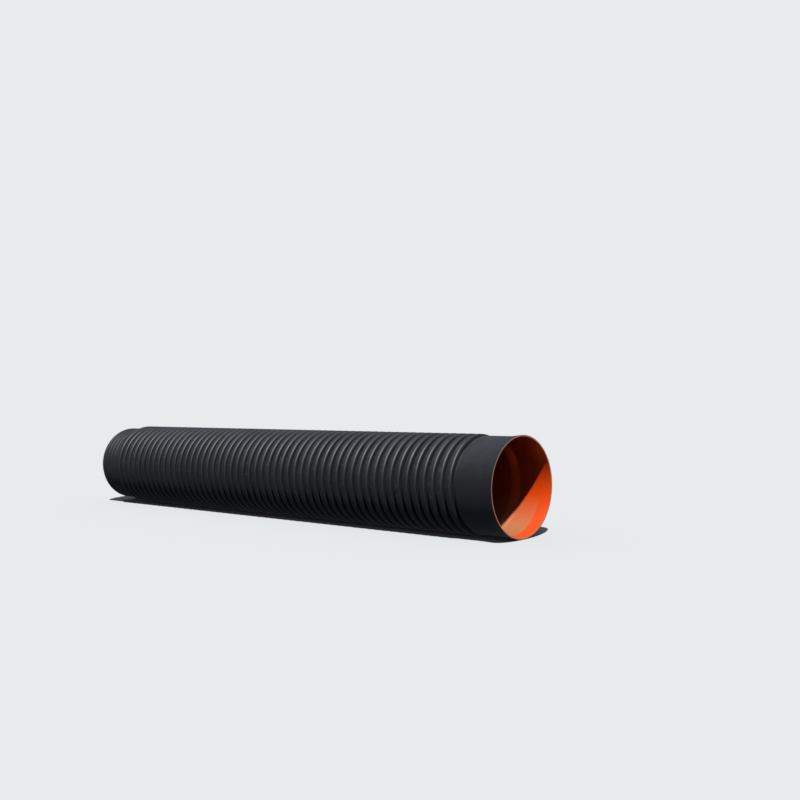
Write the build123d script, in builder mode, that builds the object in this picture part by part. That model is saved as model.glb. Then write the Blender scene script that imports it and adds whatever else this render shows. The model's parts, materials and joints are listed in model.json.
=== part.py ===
# Corrugated plastic drainage pipe with a double wall, a socket at one end and a ringed spigot at the other.
# Lengths are in millimetres. The pipe lies level on the floor: +X runs along its axis towards the socket,
# +Z is up, and the origin is on the floor under the middle of its length.

import os

from build123d import *

# Driving sizes: bore and walls
bore_radius = 400.0          # smooth waterway, nominal bore 800
liner_wall = 6.0             # smooth orange inner wall
shell_wall = 5.5             # black outer wall, the same all along its waves

# Driving sizes: rings of the body
ring_count = 52
ring_pitch = 100.5
ring_height = 46.5           # how far a ring stands above the grooves beside it
ring_crest = 58.5            # flat top of a ring, along the pipe
ring_flank = 7.5             # how far a flank leans, along the pipe

# Driving sizes: spigot with its fine rings
fine_count = 5
fine_pitch = 67.5
fine_height = 16.5           # how far a fine ring stands above the grooves, low enough for a socket
fine_crest = 36.0
fine_flank = 4.0
spigot_groove = 28.0         # floor of the groove between the body's first ring and the fine rings
spigot_collar = 20.0         # plain cut end beyond the last fine ring

# Driving sizes: socket
socket_clearance = 3.0       # between a fine ring and the socket around it
socket_groove = 27.0         # floor of the groove between the body's last ring and the socket
socket_flank = 9.0           # how far the outer wall's shoulder leans, along the pipe
socket_cone = 82.0           # how far the inner wall takes to widen from the bore to the socket, along the pipe
socket_grip = 215.0          # plain stretch that grips the spigot
mouth_flare = 115.0          # lead-in at the mouth, along the pipe
mouth_inset = 1.5            # how far the flared mouth stays inside the rings, so that these carry the pipe

# Radii that follow from them, each to an outer face
groove_radius = bore_radius + liner_wall + shell_wall
ring_radius = groove_radius + ring_height          # the widest part of the pipe
fine_radius = groove_radius + fine_height
socket_radius = fine_radius + socket_clearance + liner_wall + shell_wall
mouth_radius = ring_radius - mouth_inset

# Lengths along the pipe, from the cut end of the spigot
fine_start = spigot_collar
fine_end = fine_start + (fine_count - 1) * fine_pitch + fine_crest + 2 * fine_flank
body_start = fine_end + spigot_groove
body_end = body_start + (ring_count - 1) * ring_pitch + ring_crest + 2 * ring_flank
shoulder_start = body_end + socket_groove
socket_start = shoulder_start + socket_flank
grip_start = shoulder_start + socket_cone
flare_start = grip_start + socket_grip
pipe_length = flare_start + mouth_flare


def ring_profile(start, count, pitch, crest, flank, radius):
    """The outer line over a row of rings, four corners for each."""
    corners = []
    for number in range(count):
        foot = start + number * pitch
        corners += [
            (foot, groove_radius),
            (foot + flank, radius),
            (foot + flank + crest, radius),
            (foot + flank + crest + flank, groove_radius),
        ]
    return corners


def socket_profile():
    """The outer line over the socket: foot of the shoulder, plain stretch, flare and mouth."""
    return [
        (shoulder_start, groove_radius),
        (socket_start, socket_radius),
        (flare_start, socket_radius),
        (pipe_length, mouth_radius),
    ]


def offset_inwards(corners, depth):
    """The same line moved towards the axis by a wall's thickness, square to each of its stretches."""
    moved = []
    for number, corner in enumerate(corners):
        before = corners[max(number - 1, 0)]
        after = corners[min(number + 1, len(corners) - 1)]
        first = (Vector(*corner) - Vector(*before)) if number else (Vector(*after) - Vector(*corner))
        second = (Vector(*after) - Vector(*corner)) if after != corner else first
        inward_first = Vector(first.Y, -first.X).normalized()
        inward_second = Vector(second.Y, -second.X).normalized()
        mitre = inward_first + inward_second
        shift = mitre * (2 * depth / mitre.dot(mitre))
        moved.append((corner[0] + shift.X, corner[1] + shift.Y))
    return moved


def square_ends(corners):
    """Puts the first and last corner back on the pipe's two cut ends."""
    return [(0, corners[0][1])] + corners[1:-1] + [(pipe_length, corners[-1][1])]


# The half section is drawn on an upright plane through the pipe's axis, from the spigot's cut end
section_plane = Plane(origin=(-pipe_length / 2, 0, ring_radius), x_dir=(1, 0, 0), z_dir=(0, -1, 0))
pipe_axis = Axis((0, 0, ring_radius), (1, 0, 0))

spigot_end = [(0, groove_radius)]
fine_rings = ring_profile(fine_start, fine_count, fine_pitch, fine_crest, fine_flank, fine_radius)
body_rings = ring_profile(body_start, ring_count, ring_pitch, ring_crest, ring_flank, ring_radius)

# Outer wall: one sheet of even thickness that runs over every ring and out into the socket
shell_outside = spigot_end + fine_rings + body_rings + socket_profile()
shell_inside = square_ends(offset_inwards(shell_outside, shell_wall))

with BuildPart() as outer_wall:
    with BuildSketch(section_plane):
        with BuildLine():
            Polyline(*shell_outside, *reversed(shell_inside), close=True)
        make_face()
    revolve(axis=pipe_axis)

# Inner wall: the smooth liner, welded to the outer wall in every groove. Behind the shoulder it leaves the outer
# wall in a long cone, and meets it again where the socket's grip begins
weld_line = square_ends(offset_inwards(spigot_end + socket_profile(), shell_wall))
weld_end, shoulder_top, *weld_to_mouth = weld_line[1:]
liner_outside = [weld_line[0], weld_end, (grip_start, shoulder_top[1]), *weld_to_mouth]
liner_inside = square_ends(offset_inwards(liner_outside, liner_wall))

with BuildPart() as inner_wall:
    with BuildSketch(section_plane):
        with BuildLine():
            Polyline(*liner_outside, *reversed(liner_inside), close=True)
        make_face()
    revolve(axis=pipe_axis)

outer_wall.part.label = "outer_wall"
inner_wall.part.label = "inner_wall"

os.makedirs("parts", exist_ok=True)
export_step(outer_wall.part, "parts/outer_wall.step")
export_step(inner_wall.part, "parts/inner_wall.step")

print("pipe length", pipe_length, "grip from", grip_start, "to", flare_start)
print("outer diameter", 2 * ring_radius, "socket outside", 2 * socket_radius, "mouth outside", 2 * mouth_radius)
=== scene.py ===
# %% [markdown]
# # A double-wall drainage pipe
#
# This lesson dresses one large plastic drainage pipe: a black corrugated outer wall with a plain socket at one
# end and fine rings at the other, and a smooth orange inner wall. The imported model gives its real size. Here it
# gets rounded ring shoulders, cut rims and the two plastics, then light and a camera.
#
# All lengths are in metres. The pipe lies along X, its socket towards +X, and it rests on its rings at Z = 0.

# %% Load the frame
import json
from math import hypot, pi, radians

import bmesh
import bpy
from mathutils import Matrix, Vector


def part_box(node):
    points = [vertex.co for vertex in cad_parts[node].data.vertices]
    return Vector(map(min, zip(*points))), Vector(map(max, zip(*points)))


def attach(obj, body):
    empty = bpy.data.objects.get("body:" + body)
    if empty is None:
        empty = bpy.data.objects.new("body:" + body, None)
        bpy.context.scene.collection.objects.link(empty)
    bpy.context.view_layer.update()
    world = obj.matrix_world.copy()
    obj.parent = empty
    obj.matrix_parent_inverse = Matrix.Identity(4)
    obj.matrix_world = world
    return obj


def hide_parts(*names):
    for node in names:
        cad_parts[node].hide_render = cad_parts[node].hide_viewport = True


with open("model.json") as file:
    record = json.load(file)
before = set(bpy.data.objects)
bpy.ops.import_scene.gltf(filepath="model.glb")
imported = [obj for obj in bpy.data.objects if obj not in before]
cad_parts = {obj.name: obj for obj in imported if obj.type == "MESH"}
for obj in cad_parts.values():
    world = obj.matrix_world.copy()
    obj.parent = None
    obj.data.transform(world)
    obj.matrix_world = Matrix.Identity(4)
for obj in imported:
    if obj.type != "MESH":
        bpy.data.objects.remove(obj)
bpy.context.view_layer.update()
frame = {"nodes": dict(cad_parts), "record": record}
mounts = {mount["name"]: mount for mount in frame["record"]["mounts"]}
print("nodes:", ", ".join(frame["nodes"]), "mounts:", ", ".join(mounts))

# %% [markdown]
# ## Sizes
#
# The overall size and the three round fits come from the frame, so the dressed pipe can't drift away from the
# solid one. The rings repeat the solid's own sizes: a flat crest, steep flanks and a narrow groove. The
# roundings are what the solid leaves out. Plastic is blown into a steel mould, so no corner is sharp.

# %% Read the sizes
MM = 0.001

shell_low, shell_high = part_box("outer_wall")
spigot_end = shell_low[0]
mouth_end = shell_high[0]
axis_height = (shell_low[2] + shell_high[2]) / 2
ring_radius = shell_high[2] - axis_height

bore_radius = mounts["waterway"]["dims"]["r_mm"] * MM
socket_bore = mounts["socket"]["dims"]["r_mm"] * MM
socket_depth = mounts["socket"]["dims"]["length_mm"] * MM
socket_middle = mounts["socket"]["pos_m"][0]
fine_radius = mounts["spigot"]["dims"]["r_mm"] * MM

liner_wall = 6.0 * MM
shell_wall = 5.5 * MM
weld_radius = bore_radius + liner_wall
groove_radius = weld_radius + shell_wall
socket_weld = socket_bore + liner_wall
socket_radius = socket_weld + shell_wall
mouth_inset = 1.5 * MM
mouth_radius = ring_radius - mouth_inset

ring_count = 52
ring_pitch = 100.5 * MM
ring_crest = 58.5 * MM
ring_flank = 7.5 * MM
first_ring = spigot_end + 398.75 * MM    # the middle of the body's first ring

fine_count = 5
fine_pitch = 67.5 * MM
fine_crest = 36.0 * MM
fine_flank = 4.0 * MM
first_fine = spigot_end + 42.0 * MM      # the middle of the first fine ring

grip_start = socket_middle - socket_depth / 2
flare_start = socket_middle + socket_depth / 2
cone_run = 82.0 * MM
shoulder_start = grip_start - cone_run
shoulder_run = 9.0 * MM
socket_start = shoulder_start + shoulder_run

sides = 96                   # corners round the pipe: its outline stays within 0.3 mm of the circle
slack = 0.1 * MM             # how close a corner has to be to a place to count as being there

# Roundings, each with its size and the number of steps it takes
ring_shoulder = (16 * MM, 3)
ring_foot = (7 * MM, 2)
fine_shoulder = (7 * MM, 3)
fine_foot = (5 * MM, 2)
shoulder_foot = (7 * MM, 2)
socket_edge = (6 * MM, 3)
lead_in = (30 * MM, 4)
grip_edge = (14 * MM, 3)
cone_foot = (18 * MM, 3)
sawn_edge = (0.9 * MM, 2)
print("length %.3f m, outside %.3f m, bore %.3f m" % (mouth_end - spigot_end, 2 * ring_radius, 2 * bore_radius))

# %% [markdown]
# ## Helpers for editing
#
# Each piece is shaped in edit mode, the way it would be done by hand. Small functions take the place of the
# mouse. They select one piece, open and close it for editing, and select the edges or faces that pass a test
# on their place. A tube with open ends is the start of every piece here, so that has a function too.

# %% Helpers for editing
def select_piece(piece):
    """Selects this piece alone."""
    bpy.ops.object.select_all(action="DESELECT")
    bpy.context.view_layer.objects.active = piece
    piece.select_set(True)


def open_piece(piece):
    """Selects this piece alone and goes into edit mode."""
    select_piece(piece)
    bpy.ops.object.mode_set(mode="EDIT")


def close_piece():
    bpy.ops.object.mode_set(mode="OBJECT")


def add_tube(name, radius, middle, length):
    """Adds a tube with open ends round the pipe's axis."""
    bpy.ops.object.select_all(action="DESELECT")
    bpy.ops.mesh.primitive_cylinder_add(
        vertices=sides, radius=radius, depth=length, end_fill_type="NOTHING",
        location=(middle, 0, axis_height), rotation=(0, pi / 2, 0))
    tube = bpy.context.object
    tube.name = name
    bpy.ops.object.transform_apply(location=True, rotation=True, scale=True)
    return tube


def off_axis(point):
    """How far a point is from the pipe's axis."""
    return hypot(point[1], point[2] - axis_height)


def close_to(value, target, within=slack):
    return abs(value - target) < within


def select_edges(piece, test):
    """Selects the edges whose two ends both pass the test, and returns how many."""
    bpy.ops.mesh.select_mode(type="EDGE")
    bpy.ops.mesh.select_all(action="DESELECT")
    shape = bmesh.from_edit_mesh(piece.data)
    chosen = [edge for edge in shape.edges if all(test(corner.co) for corner in edge.verts)]
    for edge in chosen:
        edge.select_set(True)
    bmesh.update_edit_mesh(piece.data)
    return len(chosen)


def select_faces(piece, test):
    """Selects the faces whose middle passes the test."""
    bpy.ops.mesh.select_mode(type="FACE")
    bpy.ops.mesh.select_all(action="DESELECT")
    shape = bmesh.from_edit_mesh(piece.data)
    for face in shape.faces:
        if test(face.calc_center_median()):
            face.select_set(True)
    bmesh.update_edit_mesh(piece.data)


def keep_open_edges(piece):
    """Leaves only those selected edges selected that border on nothing."""
    shape = bmesh.from_edit_mesh(piece.data)
    for edge in shape.edges:
        if not edge.is_boundary:
            edge.select_set(False)
    bmesh.update_edit_mesh(piece.data)


# %% [markdown]
# ## One ring
#
# The outer wall is blown into a chain of steel mould blocks, so every ring is the same. One ring is therefore
# modelled once, on a short tube as long as the pitch, and copied later. The tube is cut at the two feet, the
# band between them is extruded and scaled out from the axis, and its two corners and two feet are bevelled.
# Scaling about the axis keeps the band exactly round, which moving each face by its own normal would not.

# %% Model one ring
def make_ring(name, middle, pitch, crest, flank, top_radius, shoulder_round, foot_round):
    """A ring on a short open tube, with its middle at this place along the pipe."""
    ring = add_tube(name, groove_radius, middle, pitch)
    foot = crest / 2 + flank
    open_piece(ring)
    for place in (middle - foot, middle + foot):
        bpy.ops.mesh.select_all(action="SELECT")
        bpy.ops.mesh.bisect(plane_co=(place, 0, 0), plane_no=(1, 0, 0))
    select_faces(ring, lambda point: abs(point[0] - middle) < foot)
    bpy.ops.mesh.extrude_region_move(TRANSFORM_OT_translate={"value": (0, 0, 0)})
    widen = top_radius / groove_radius
    bpy.ops.transform.resize(
        value=(crest / (2 * foot), widen, widen), center_override=(middle, 0, axis_height))
    round_corner(ring, middle - crest / 2, top_radius, *shoulder_round)
    round_corner(ring, middle + crest / 2, top_radius, *shoulder_round)
    round_corner(ring, middle - foot, groove_radius, *foot_round)
    round_corner(ring, middle + foot, groove_radius, *foot_round)
    close_piece()
    return ring


def round_corner(piece, place, radius, size, steps):
    """Bevels the circle of edges at this place and radius, and returns how many edges it has."""
    found = select_edges(
        piece, lambda point: close_to(point[0], place) and close_to(off_axis(point), radius, 5 * slack))
    if found:
        bpy.ops.mesh.bevel(offset=size, offset_type="OFFSET", segments=steps, profile=0.5, affect="EDGES")
    return found


body_ring = make_ring(
    "body_ring", first_ring, ring_pitch, ring_crest, ring_flank, ring_radius, ring_shoulder, ring_foot)
fine_ring = make_ring(
    "fine_ring", first_fine, fine_pitch, fine_crest, fine_flank, fine_radius, fine_shoulder, fine_foot)
print("one body ring:", len(body_ring.data.polygons), "faces; one fine ring:", len(fine_ring.data.polygons))

# %% [markdown]
# ## Rings in a row
#
# An Array modifier repeats the ring at its pitch and merges each copy's end with the next one's start. It is
# applied straight away, because the rows are joined into one wall and the merged corners have to be real.

# %% Repeat the rings
def repeat_along(piece, pitch, count):
    """Repeats the piece along the pipe and merges the copies' ends."""
    select_piece(piece)
    row = piece.modifiers.new("row", "ARRAY")
    row.count = count
    row.use_relative_offset = False
    row.use_constant_offset = True
    row.constant_offset_displace = (pitch, 0, 0)
    row.use_merge_vertices = True
    row.merge_threshold = 2 * slack
    bpy.ops.object.modifier_apply(modifier=row.name)


repeat_along(body_ring, ring_pitch, ring_count)
repeat_along(fine_ring, fine_pitch, fine_count)

select_piece(body_ring)
fine_ring.select_set(True)
bpy.ops.object.join()
outer_wall = bpy.context.object
outer_wall.name = "ringed_outer_wall"

row_end = first_ring + (ring_count - 0.5) * ring_pitch
fine_row_start = first_fine - fine_pitch / 2
fine_row_end = first_fine + (fine_count - 0.5) * fine_pitch
row_start = first_ring - ring_pitch / 2
print("rings:", ring_count, "and", fine_count, "from %.3f to %.3f m" % (fine_row_start, row_end))

# %% [markdown]
# ## Drawing a wall out of a circle
#
# The rest of the outer wall is plain: a short collar at the cut end, the groove that joins the two rows, and
# the socket. A tube like this grows from the circle of edges at its open end: extrude the circle, slide it
# along the axis, scale it about the axis, and again for the next bend. The same move then goes round the rim
# and back inside along the weld, which makes the wall one closed skin. Its thickness is real at both rims and
# all along the socket. The hollow inside each ring isn't drawn here, because the inner wall closes it off and
# nothing can see it. The solid model has those hollows.

# %% Draw out a wall
def select_open_circle(piece, place):
    """Selects the open circle of edges at this place along the pipe."""
    select_edges(piece, lambda point: close_to(point[0], place))
    keep_open_edges(piece)


def draw_out(place, radius, to_place, to_radius):
    """Extrudes the selected circle from one place and radius to the next."""
    bpy.ops.mesh.extrude_region_move(TRANSFORM_OT_translate={"value": (to_place - place, 0, 0)})
    widen = to_radius / radius
    bpy.ops.transform.resize(value=(1, widen, widen), center_override=(to_place, 0, axis_height))


def draw_line(stops):
    """Draws the selected circle from the first stop through all the others, each a place and a radius."""
    for (place, radius), (to_place, to_radius) in zip(stops, stops[1:]):
        draw_out(place, radius, to_place, to_radius)


def mitre(rise, run, depth):
    """How far a bend shifts along the pipe when a sloping wall is offset square to itself by this depth."""
    slope = hypot(rise, run)
    return depth * (slope - run) / rise


shoulder_rise = socket_radius - groove_radius
flare_rise = mouth_radius - socket_radius
flare_run = mouth_end - flare_start


def thickness_at_mouth(depth):
    """How thick a wall of this depth is where the mouth's rim cuts it, across the pipe's axis."""
    return depth * hypot(flare_rise, flare_run) / flare_run


def inside_stops(depth):
    """The outer wall's bends on its hidden side, this deep under the outer face, from mouth to spigot."""
    shoulder_shift = mitre(shoulder_rise, shoulder_run, depth)
    return [
        (mouth_end, mouth_radius - thickness_at_mouth(depth)),
        (flare_start + mitre(flare_rise, flare_run, depth), socket_radius - depth),
        (socket_start + shoulder_shift, socket_radius - depth),
        (shoulder_start + shoulder_shift, groove_radius - depth),
        (spigot_end, groove_radius - depth),
    ]


outside_stops = [
    (row_end, groove_radius),
    (shoulder_start, groove_radius),
    (socket_start, socket_radius),
    (flare_start, socket_radius),
    (mouth_end, mouth_radius),
]

open_piece(outer_wall)
select_open_circle(outer_wall, fine_row_start)
draw_line([(fine_row_start, groove_radius), (spigot_end, groove_radius)])
select_open_circle(outer_wall, row_end)
draw_line(outside_stops + inside_stops(shell_wall))

# The two rows are joined across the groove between them, and the wall's two skins at the spigot's cut end
select_edges(outer_wall, lambda point: fine_row_end - slack < point[0] < row_start + slack)
keep_open_edges(outer_wall)
bpy.ops.mesh.bridge_edge_loops()
select_open_circle(outer_wall, spigot_end)
bpy.ops.mesh.bridge_edge_loops()
close_piece()
print("outer wall:", len(outer_wall.data.polygons), "faces before its bends are rounded")

# %% [markdown]
# ## Round the bends
#
# The lead-in is formed while the plastic is soft, so its bend is wide and easy. The shoulder is steep, and the
# socket's first edge is much tighter, which draws a thin line there. The two rims are sawn, and the saw's burr
# is scraped off: that leaves a narrow, crisp edge that catches light.

# %% Round the socket and the rims
def round_bends(piece, bends):
    """Bevels a list of circles, each with its place, radius, rounding and steps."""
    open_piece(piece)
    counts = [round_corner(piece, *bend) for bend in bends]
    close_piece()
    return counts


print("edges rounded:", round_bends(outer_wall, [
    (shoulder_start, groove_radius, *shoulder_foot),
    (socket_start, socket_radius, *socket_edge),
    (flare_start, socket_radius, *lead_in),
    (mouth_end, mouth_radius, *sawn_edge),
    (spigot_end, groove_radius, *sawn_edge),
]))

# %% [markdown]
# ## The smooth inner wall
#
# The inner wall is extruded as a plain tube and laid against the outer wall while both are hot, so the two
# share one weld face. It can't follow the steep shoulder, so it widens in a long cone and meets the outer wall
# again where the socket's grip begins. It starts as a tube with open ends, from the cut end of the spigot to
# the foot of the shoulder, and is drawn out along the cone, through the socket, round the mouth's rim and back.

# %% Model the inner wall
weld_at_mouth, weld_at_flare, _, (cone_start, _), _ = inside_stops(shell_wall)
cone_shift = mitre(socket_weld - weld_radius, grip_start - cone_start, liner_wall)
both_walls = shell_wall + liner_wall
liner_outside = [(cone_start, weld_radius), (grip_start, socket_weld), weld_at_flare, weld_at_mouth]
liner_inside = [
    (mouth_end, mouth_radius - thickness_at_mouth(both_walls)),
    (flare_start + mitre(flare_rise, flare_run, both_walls), socket_bore),
    (grip_start + cone_shift, socket_bore),
    (cone_start + cone_shift, bore_radius),
    (spigot_end, bore_radius),
]

inner_wall = add_tube(
    "smooth_inner_wall", weld_radius, (cone_start + spigot_end) / 2, cone_start - spigot_end)
open_piece(inner_wall)
select_open_circle(inner_wall, cone_start)
draw_line(liner_outside + liner_inside)
select_open_circle(inner_wall, spigot_end)
bpy.ops.mesh.bridge_edge_loops()
close_piece()

at_mouth, at_flare, at_grip, at_cone, at_spigot = liner_inside
print("edges rounded:", round_bends(inner_wall, [
    (*at_flare, *lead_in),
    (*at_grip, *grip_edge),
    (*at_cone, *cone_foot),
    (*at_mouth, *sawn_edge),
    (*at_spigot, *sawn_edge),
]))

# %% [markdown]
# ## Skins that face outwards
#
# Extruding inwards can leave faces that look the wrong way, and a renderer or a printer then takes the wall
# for a hole. The corners that meet are merged, the normals are worked out again, and the shading is smooth
# wherever two faces meet at less than about a third of a right angle. A Weighted Normal modifier keeps the
# broad faces flat to the eye, so that a bevel's light stays on the bevel.

# %% Finish the skins
smooth_below = radians(32)


def finish_skin(piece):
    """Merges, turns and shades the faces of a piece, and prints what it is made of."""
    open_piece(piece)
    bpy.ops.mesh.select_all(action="SELECT")
    bpy.ops.mesh.remove_doubles(threshold=slack / 2)
    bpy.ops.mesh.normals_make_consistent(inside=False)
    close_piece()
    bpy.ops.object.shade_smooth_by_angle(angle=smooth_below)
    even = piece.modifiers.new("even_shading", "WEIGHTED_NORMAL")
    even.keep_sharp = True
    bpy.ops.object.modifier_apply(modifier=even.name)
    skin = bmesh.new()
    skin.from_mesh(piece.data)
    open_edges = sum(1 for edge in skin.edges if not edge.is_manifold)
    volume = skin.calc_volume(signed=True)
    triangles = sum(len(face.verts) - 2 for face in skin.faces)
    skin.free()
    print(piece.name, "triangles", triangles, "open edges", open_edges, "volume %.4f m3" % volume)


finish_skin(outer_wall)
finish_skin(inner_wall)

# %% [markdown]
# ## Colours and nodes
#
# Colours are written as the hex values seen on a screen and turned to linear light by one function. Another
# adds a node with its settings and links, so that each material below reads as a short list.

# %% Helpers for materials
def linear(hex_colour):
    """A screen colour such as "#1c1d20" as linear red, green, blue and alpha."""
    channels = [int(hex_colour[place:place + 2], 16) / 255 for place in (1, 3, 5)]
    return [value / 12.92 if value <= 0.04045 else ((value + 0.055) / 1.055) ** 2.4
            for value in channels] + [1.0]


def add_node(material, kind, links=None, **settings):
    """Adds a node, sets its sockets and options by name, and links sockets to other nodes' outputs."""
    node = material.node_tree.nodes.new(kind)
    for name, value in settings.items():
        if name in node.inputs.keys():
            node.inputs[name].default_value = value
        else:
            setattr(node, name, value)
    for name, source in (links or {}).items():
        material.node_tree.links.new(source, node.inputs[name])
    return node


def new_material(name):
    """A material with an empty node tree."""
    material = bpy.data.materials.new(name)
    material.use_nodes = True
    material.node_tree.nodes.clear()
    return material


def per_metre(size_mm):
    """The scale of a pattern on Object coordinates whose features are this many millimetres apart."""
    return 1000.0 / size_mm


# %% [markdown]
# ## Black polyethylene
#
# The outer wall is polyethylene with a few percent of carbon black, which keeps sunlight out. It is blown
# against blasted steel, so it has a satin face with a fine grain, and a thin seam on each side where the two
# halves of the mould met. It is never quite black: the ring tops carry pale scuffs from handling, and dust
# settles on whatever faces up. Its colour is also painted paler and bluer where it faces up, a painted sheen of
# the sky, and darker down in the narrow grooves, a painted shade. Its refractive index is about 1.54.

# %% Make the black plastic
def cut_ends(material, place):
    """One on the two sawn ends of the pipe and nothing elsewhere, broken up by the saw's fine marks."""
    along = add_node(material, "ShaderNodeSeparateXYZ", {"Vector": place}).outputs["X"]
    from_middle = add_node(material, "ShaderNodeMath", {0: along}, operation="ABSOLUTE").outputs[0]
    marks = add_node(material, "ShaderNodeTexNoise", {"Vector": place},
                     Scale=per_metre(9), Detail=3.0).outputs[0]
    end = add_node(material, "ShaderNodeMapRange", {"Value": from_middle},
                   **{"From Min": mouth_end - 1.0 * MM, "From Max": mouth_end - 0.3 * MM}).outputs[0]
    uneven = add_node(material, "ShaderNodeMapRange", {"Value": marks},
                      **{"From Min": 0.3, "From Max": 0.7, "To Min": 0.55}).outputs[0]
    return add_node(material, "ShaderNodeMath", {0: end, 1: uneven}, operation="MULTIPLY").outputs[0]


def make_black_plastic():
    plastic = new_material("black_polyethylene")
    place = add_node(plastic, "ShaderNodeTexCoord").outputs["Object"]
    upward = add_node(plastic, "ShaderNodeSeparateXYZ",
                      {"Vector": add_node(plastic, "ShaderNodeNewGeometry").outputs["Normal"]}).outputs["Z"]
    cloudy = add_node(plastic, "ShaderNodeTexNoise", {"Vector": place},
                      Scale=per_metre(380), Detail=6.0, Roughness=0.62).outputs[0]
    centred = add_node(plastic, "ShaderNodeMapping", {"Vector": place},
                       Location=(0, 0, -axis_height), Scale=(0, 1, 1))
    radius = add_node(plastic, "ShaderNodeVectorMath", {0: centred.outputs[0]},
                      operation="LENGTH").outputs["Value"]

    # Dust lies on what faces up, in soft patches. Where it faces up the colour is also painted paler and bluer, a
    # painted sheen of the sky, and the narrow grooves get little of it, which is painted shade in the grooves
    settled = add_node(plastic, "ShaderNodeMapRange", {"Value": upward},
                       **{"From Min": 0.15, "From Max": 0.95, "To Max": 0.95})
    # Painted shade: this mask keeps the narrow grooves darker than the rings
    painted_groove_shade = add_node(plastic, "ShaderNodeMapRange", {"Value": radius},
                        **{"From Min": groove_radius, "From Max": groove_radius + 14 * MM, "To Min": 0.15})
    # Dust together with a painted sheen of the sky on the upward faces
    dust_and_painted_sheen = add_node(plastic, "ShaderNodeMath", {0: settled.outputs[0], 1: cloudy}, operation="MULTIPLY")
    dust = add_node(plastic, "ShaderNodeMath", {0: dust_and_painted_sheen.outputs[0], 1: painted_groove_shade.outputs[0]},
                    operation="MULTIPLY")
    dusty = add_node(plastic, "ShaderNodeMix", {0: dust.outputs[0]}, data_type="RGBA")
    # The paler, bluer colour is partly dust and partly painted sheen of the sky on top
    dusty.inputs[6].default_value = linear("#101114")
    dusty.inputs[7].default_value = linear("#37383f")

    # Scuffs, a few centimetres long, only where the rings stand highest
    on_top = add_node(plastic, "ShaderNodeMapRange", {"Value": radius},
                      **{"From Min": ring_radius - 2.0 * MM, "From Max": ring_radius - 0.4 * MM})
    rubbed = add_node(plastic, "ShaderNodeTexNoise", {"Vector": place}, Scale=per_metre(45), Detail=4.0)
    sparse = add_node(plastic, "ShaderNodeMapRange", {"Value": rubbed.outputs[0]},
                      **{"From Min": 0.54, "From Max": 0.80, "To Max": 0.40})
    scuff = add_node(plastic, "ShaderNodeMath", {0: on_top.outputs[0], 1: sparse.outputs[0]},
                     operation="MULTIPLY")
    scuffed = add_node(plastic, "ShaderNodeMix", {0: scuff.outputs[0], 6: dusty.outputs[2]}, data_type="RGBA")
    scuffed.inputs[7].default_value = linear("#4b4c50")

    # The sawn ends are paler and dull
    sawn = cut_ends(plastic, place)
    colour = add_node(plastic, "ShaderNodeMix", {0: sawn, 6: scuffed.outputs[2]}, data_type="RGBA")
    colour.inputs[7].default_value = linear("#6b5a50")

    # Satin face, rougher in the dusty patches
    sheen = add_node(plastic, "ShaderNodeMapRange", {"Value": cloudy},
                     **{"From Min": 0.3, "From Max": 0.7, "To Min": 0.48, "To Max": 0.60})

    # The mould's grain. The real one is finer than a millimetre and is drawn at 4 mm so that it shows at all.
    # Then the mould's seam, 3 mm wide, at the height of the axis
    grain = add_node(plastic, "ShaderNodeTexNoise", {"Vector": place}, Scale=per_metre(4), Detail=2.0)
    blasted = add_node(plastic, "ShaderNodeBump", {"Height": grain.outputs[0]},
                       Strength=0.12, Distance=0.3 * MM)
    height = add_node(plastic, "ShaderNodeSeparateXYZ", {"Vector": centred.outputs[0]}).outputs["Z"]
    from_seam = add_node(plastic, "ShaderNodeMath", {0: height}, operation="ABSOLUTE")
    seam = add_node(plastic, "ShaderNodeMapRange", {"Value": from_seam.outputs[0]},
                    **{"From Min": 0.4 * MM, "From Max": 1.5 * MM, "To Min": 1.0, "To Max": 0.0})
    relief = add_node(plastic, "ShaderNodeBump", {"Height": seam.outputs[0], "Normal": blasted.outputs[0]},
                      Strength=0.7, Distance=0.5 * MM)

    shader = add_node(plastic, "ShaderNodeBsdfPrincipled",
                      {"Base Color": colour.outputs[2], "Roughness": sheen.outputs[0],
                       "Normal": relief.outputs[0]}, IOR=1.54)
    add_node(plastic, "ShaderNodeOutputMaterial", {"Surface": shader.outputs[0]})
    return plastic


black_plastic = make_black_plastic()

# %% [markdown]
# ## Orange polyethylene
#
# The inner wall is coloured right through, a strong orange that lets a camera see dirt and cracks. It is drawn
# over a polished mandrel and comes out smoother than the outside. Two things break it up. The liner sinks a
# little between its welds, so a faint wave runs down the bore at the pitch of the rings. And pale dust has
# settled along the bottom of the bore, but hardly in the flare, which slopes down to the mouth and sheds it.

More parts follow.
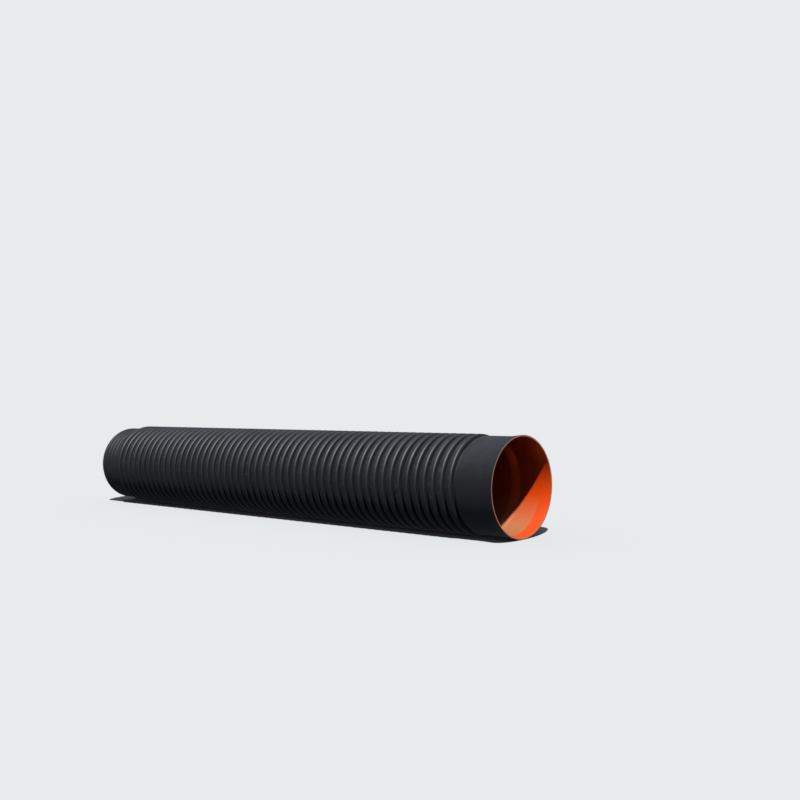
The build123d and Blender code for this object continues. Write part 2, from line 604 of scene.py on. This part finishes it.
# %% Make the orange plastic
def make_orange_plastic():
    plastic = new_material("orange_polyethylene")
    place = add_node(plastic, "ShaderNodeTexCoord").outputs["Object"]
    along = add_node(plastic, "ShaderNodeSeparateXYZ", {"Vector": place}).outputs["X"]
    upward = add_node(plastic, "ShaderNodeSeparateXYZ",
                      {"Vector": add_node(plastic, "ShaderNodeNewGeometry").outputs["Normal"]}).outputs["Z"]

    # The colour drifts a little with the mixing of the melt
    mixed = add_node(plastic, "ShaderNodeTexNoise", {"Vector": place}, Scale=per_metre(260), Detail=4.0)
    clean = add_node(plastic, "ShaderNodeMix", {0: mixed.outputs[0]}, data_type="RGBA")
    clean.inputs[6].default_value = linear("#cc3d06")
    clean.inputs[7].default_value = linear("#d64208")

    # Dust along the bottom, most of it short of the flare
    settled = add_node(plastic, "ShaderNodeMapRange", {"Value": upward},
                       **{"From Min": 0.25, "From Max": 0.9, "To Max": 0.85})
    inside = add_node(plastic, "ShaderNodeMapRange", {"Value": along},
                      **{"From Min": flare_start - 10 * MM, "From Max": flare_start + 15 * MM,
                         "To Min": 1.0, "To Max": 0.15})
    specks = add_node(plastic, "ShaderNodeTexNoise", {"Vector": place}, Scale=per_metre(14), Detail=5.0)
    patchy = add_node(plastic, "ShaderNodeMapRange", {"Value": specks.outputs[0]},
                      **{"From Min": 0.35, "From Max": 0.65, "To Min": 0.55})
    lying = add_node(plastic, "ShaderNodeMath", {0: settled.outputs[0], 1: inside.outputs[0]},
                     operation="MULTIPLY")
    dust = add_node(plastic, "ShaderNodeMath", {0: lying.outputs[0], 1: patchy.outputs[0]},
                    operation="MULTIPLY")
    dusty = add_node(plastic, "ShaderNodeMix", {0: dust.outputs[0], 6: clean.outputs[2]}, data_type="RGBA")
    dusty.inputs[7].default_value = linear("#94744c")

    # The sawn ends are paler and dull
    sawn = cut_ends(plastic, place)
    colour = add_node(plastic, "ShaderNodeMix", {0: sawn, 6: dusty.outputs[2]}, data_type="RGBA")
    colour.inputs[7].default_value = linear("#b98a6c")

    # Semi-gloss, duller under the dust
    sheen = add_node(plastic, "ShaderNodeMapRange", {"Value": dust.outputs[0]},
                     **{"To Min": 0.34, "To Max": 0.62})

    # The wave between welds, a quarter of a millimetre deep
    phase = add_node(plastic, "ShaderNodeMath", {0: along}, operation="MULTIPLY")
    phase.inputs[1].default_value = 2 * pi / ring_pitch
    wave = add_node(plastic, "ShaderNodeMath", {0: phase.outputs[0]}, operation="SINE")
    waves = add_node(plastic, "ShaderNodeBump", {"Height": wave.outputs[0]}, Strength=0.6, Distance=0.25 * MM)

    shader = add_node(plastic, "ShaderNodeBsdfPrincipled",
                      {"Base Color": colour.outputs[2], "Roughness": sheen.outputs[0],
                       "Normal": waves.outputs[0]}, IOR=1.54)
    add_node(plastic, "ShaderNodeOutputMaterial", {"Surface": shader.outputs[0]})
    return plastic


orange_plastic = make_orange_plastic()

# %% [markdown]
# ## Dress the pieces
#
# Each piece takes its plastic and rides on the pipe's one body. It stands for its solid node, which is hidden.

# %% Dress the pieces
for piece, node, slot, plastic in (
        (outer_wall, "outer_wall", "black_polyethylene", black_plastic),
        (inner_wall, "inner_wall", "orange_polyethylene", orange_plastic)):
    piece.data.materials.clear()
    piece.data.materials.append(plastic)
    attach(piece, "root")
    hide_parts(node)
    print(piece.name, "takes the place of", node, "in", slot)

# %% [markdown]
# ## Shade in the bore
#
# Light that bounces from wall to wall in an orange bore turns its shade a deep red. The photograph shows a
# brown shade, lit by the sky at the mouth and little else. So the inner wall is hidden from the light that
# bounces between things. This is a choice of looks, not how light behaves. The wall still blocks light, and it
# still shows in reflections.

# %% Keep the bore's shade brown
inner_wall.visible_diffuse = False
print("inner wall hidden from bounced light:", not inner_wall.visible_diffuse)

# %% [markdown]
# ## The floor
#
# The stage is a plain pale floor, so wide that its edge can't be seen. It takes the pipe's shadow, which shows
# that the pipe stands on its rings. It doesn't light the pipe: a pale floor so close would turn the dark
# underside grey and the inside of the mouth bright, so it too is hidden from the light that bounces.

# %% Lay the floor
floor_width = 400.0

bpy.ops.object.select_all(action="DESELECT")
bpy.ops.mesh.primitive_plane_add(size=floor_width, location=(0, 0, 0))
floor = bpy.context.object
floor.name = "studio_floor"
floor.visible_diffuse = False
floor.visible_glossy = False

pale = new_material("pale_floor")
matte = add_node(pale, "ShaderNodeBsdfDiffuse")
matte.inputs["Color"].default_value = linear("#babab8")
add_node(pale, "ShaderNodeOutputMaterial", {"Surface": matte.outputs[0]})
floor.data.materials.append(pale)
print("floor", [round(side, 1) for side in floor.dimensions])

# %% [markdown]
# ## Light
#
# One high key light stands on the camera's side. It grazes the rings, draws a line on each shoulder, and
# throws the mouth's edge across the orange wall. A faint cool light fills the shadows, stronger from above than
# from below, so the underside stays dark. What shows behind the floor is as pale as the floor itself, so there
# is no horizon to draw the eye.

# %% Set the light
key_travel = Vector((-0.383, 0.398, -0.834))
fill_strength = 0.25

key = bpy.data.objects.new("key_light", bpy.data.lights.new("key_light", "SUN"))
key.data.energy = 5.8
key.data.angle = radians(2.0)
key.data.color = (0.95, 0.97, 1.0)
key.rotation_euler = key_travel.to_track_quat("-Z", "Y").to_euler()
bpy.context.scene.collection.objects.link(key)

world = bpy.data.worlds.new("studio_surround")
world.use_nodes = True
world.node_tree.nodes.clear()
direction = add_node(world, "ShaderNodeTexCoord").outputs["Generated"]
height = add_node(world, "ShaderNodeSeparateXYZ", {"Vector": direction}).outputs["Z"]
above = add_node(world, "ShaderNodeMapRange", {"Value": height}, **{"From Min": -0.35, "From Max": 0.15})
shade = add_node(world, "ShaderNodeMix", {0: above.outputs[0]}, data_type="RGBA")
shade.inputs[6].default_value = linear("#a5a8b0")
shade.inputs[7].default_value = linear("#dfe6f5")
fill = add_node(world, "ShaderNodeBackground", {"Color": shade.outputs[2]}, Strength=fill_strength)
backdrop = add_node(world, "ShaderNodeBackground", Strength=1.0)
backdrop.inputs["Color"].default_value = linear("#e8ebed")
seen = add_node(world, "ShaderNodeLightPath").outputs["Is Camera Ray"]
surround = add_node(world, "ShaderNodeMixShader", {0: seen, 1: fill.outputs[0], 2: backdrop.outputs[0]})
add_node(world, "ShaderNodeOutputWorld", {"Surface": surround.outputs[0]})
bpy.context.scene.world = world
print("key light travels along", [round(part, 3) for part in key_travel], "fill", fill_strength)

# %% [markdown]
# ## Camera
#
# The camera stands a little above the pipe's top, in front of the socket and to one side, so that the mouth
# shows as a tall ellipse and the rings shrink towards the far end. Its place and turn were worked out from
# the spacing of the rings and the outline of the mouth in the photograph.

# %% Set the camera
picture_width = 800
focal_pixels = 1031.0
sensor_width = 36.0
camera = bpy.data.objects.new("camera", bpy.data.cameras.new("camera"))
camera.data.sensor_width = sensor_width
camera.data.lens = focal_pixels * sensor_width / picture_width
camera_turn = radians(42.103)
camera_tilt = radians(-1.126)
camera_roll = radians(1.341)
camera.location = (8.228, -7.353, 1.419)
turn = Matrix.Rotation(camera_turn, 3, "Z") @ Matrix.Rotation(pi / 2 + camera_tilt, 3, "X")
camera.rotation_euler = (turn @ Matrix.Rotation(-camera_roll, 3, "Z")).to_euler()
bpy.context.scene.collection.objects.link(camera)
bpy.context.scene.camera = camera
bpy.context.scene.view_settings.view_transform = "Standard"
print("camera at", [round(part, 2) for part in camera.location], "lens %.1f mm" % camera.data.lens)
